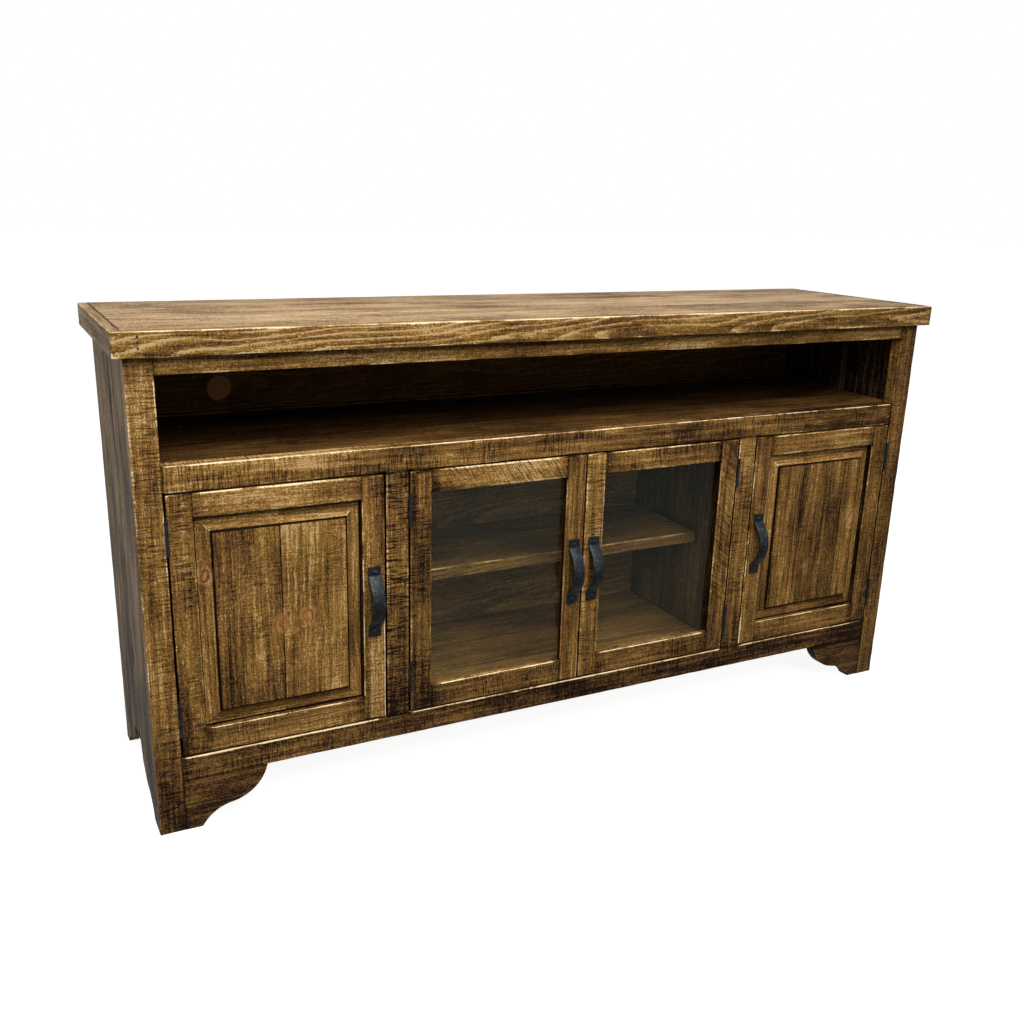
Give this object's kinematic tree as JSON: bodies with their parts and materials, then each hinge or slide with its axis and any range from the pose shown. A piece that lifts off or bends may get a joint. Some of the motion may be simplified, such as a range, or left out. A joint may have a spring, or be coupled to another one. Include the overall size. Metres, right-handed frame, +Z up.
{
  "type": "tv stand",
  "caption": "Rustic stained-pine TV stand: open cubby over glazed and raised-panel inset doors, face frame with scroll bracket feet, black strap pulls, cable hole in the back.",
  "frame": {"origin": "on the floor, under the middle of the bounding box", "axes": "+Z up, +X to the right of someone facing the doors, front and doors towards -Y"},
  "size_m": [1.778, 0.48, 0.914],
  "materials": {
    "stained_pine": "satin brown stain with a dark wiped glaze, rough-sawn texture and worn edges",
    "inner_pine": "satin dark brown stain",
    "black_iron": "matt black, lightly hammered",
    "clear_glass": "polished",
    "catch_plastic": "matt"
  },
  "bodies": {
    "case": {"top_panel": "stained_pine", "top_left_end": "stained_pine", "top_right_end": "stained_pine", "top_front_band": "stained_pine", "left_stile": "stained_pine", "right_stile": "stained_pine", "left_mid_stile": "stained_pine", "right_mid_stile": "stained_pine", "top_rail": "stained_pine", "mid_rail": "stained_pine", "bottom_rail": "stained_pine", "left_bracket_foot": "stained_pine", "right_bracket_foot": "stained_pine", "left_side_panel": "stained_pine", "right_side_panel": "stained_pine", "bottom_panel": "inner_pine", "cubby_floor": "inner_pine", "left_partition": "inner_pine", "right_partition": "inner_pine", "centre_shelf": "inner_pine", "back_panel": "inner_pine", "case_nails": "black_iron", "hinge_frame_leaves": "black_iron", "hinge_frame_screws": "black_iron", "hinge_pins": "black_iron", "door_catches": "catch_plastic"},
    "left_door": {"left_door_hinge_stile": "stained_pine", "left_door_pull_stile": "stained_pine", "left_door_top_rail": "stained_pine", "left_door_bottom_rail": "stained_pine", "left_door_panel": "stained_pine", "left_door_pull": "black_iron", "left_door_hinge_leaves": "black_iron", "left_door_screws": "black_iron"},
    "left_glass_door": {"left_glass_door_hinge_stile": "stained_pine", "left_glass_door_pull_stile": "stained_pine", "left_glass_door_top_rail": "stained_pine", "left_glass_door_bottom_rail": "stained_pine", "left_glass_door_pane": "clear_glass", "left_glass_door_pull": "black_iron", "left_glass_door_hinge_leaves": "black_iron", "left_glass_door_screws": "black_iron", "left_glass_door_clips": "black_iron"},
    "right_glass_door": {"right_glass_door_hinge_stile": "stained_pine", "right_glass_door_pull_stile": "stained_pine", "right_glass_door_top_rail": "stained_pine", "right_glass_door_bottom_rail": "stained_pine", "right_glass_door_pane": "clear_glass", "right_glass_door_pull": "black_iron", "right_glass_door_hinge_leaves": "black_iron", "right_glass_door_screws": "black_iron", "right_glass_door_clips": "black_iron"},
    "right_door": {"right_door_hinge_stile": "stained_pine", "right_door_pull_stile": "stained_pine", "right_door_top_rail": "stained_pine", "right_door_bottom_rail": "stained_pine", "right_door_panel": "stained_pine", "right_door_pull": "black_iron", "right_door_hinge_leaves": "black_iron", "right_door_screws": "black_iron"}
  },
  "joints": [
    {"name": "left_door_hinge", "type": "hinge", "parent": "case", "child": "left_door", "pos_m": [-0.8225, -0.2134, 0.3945], "axis": [0, 0, -1], "range_deg": [0, 170]},
    {"name": "left_glass_door_hinge", "type": "hinge", "parent": "case", "child": "left_glass_door", "pos_m": [-0.3835, -0.2134, 0.3945], "axis": [0, 0, -1], "range_deg": [0, 150]},
    {"name": "right_glass_door_hinge", "type": "hinge", "parent": "case", "child": "right_glass_door", "pos_m": [0.3835, -0.2134, 0.3945], "axis": [0, 0, 1], "range_deg": [0, 150]},
    {"name": "right_door_hinge", "type": "hinge", "parent": "case", "child": "right_door", "pos_m": [0.8225, -0.2134, 0.3945], "axis": [0, 0, 1], "range_deg": [0, 170]}
  ]
}
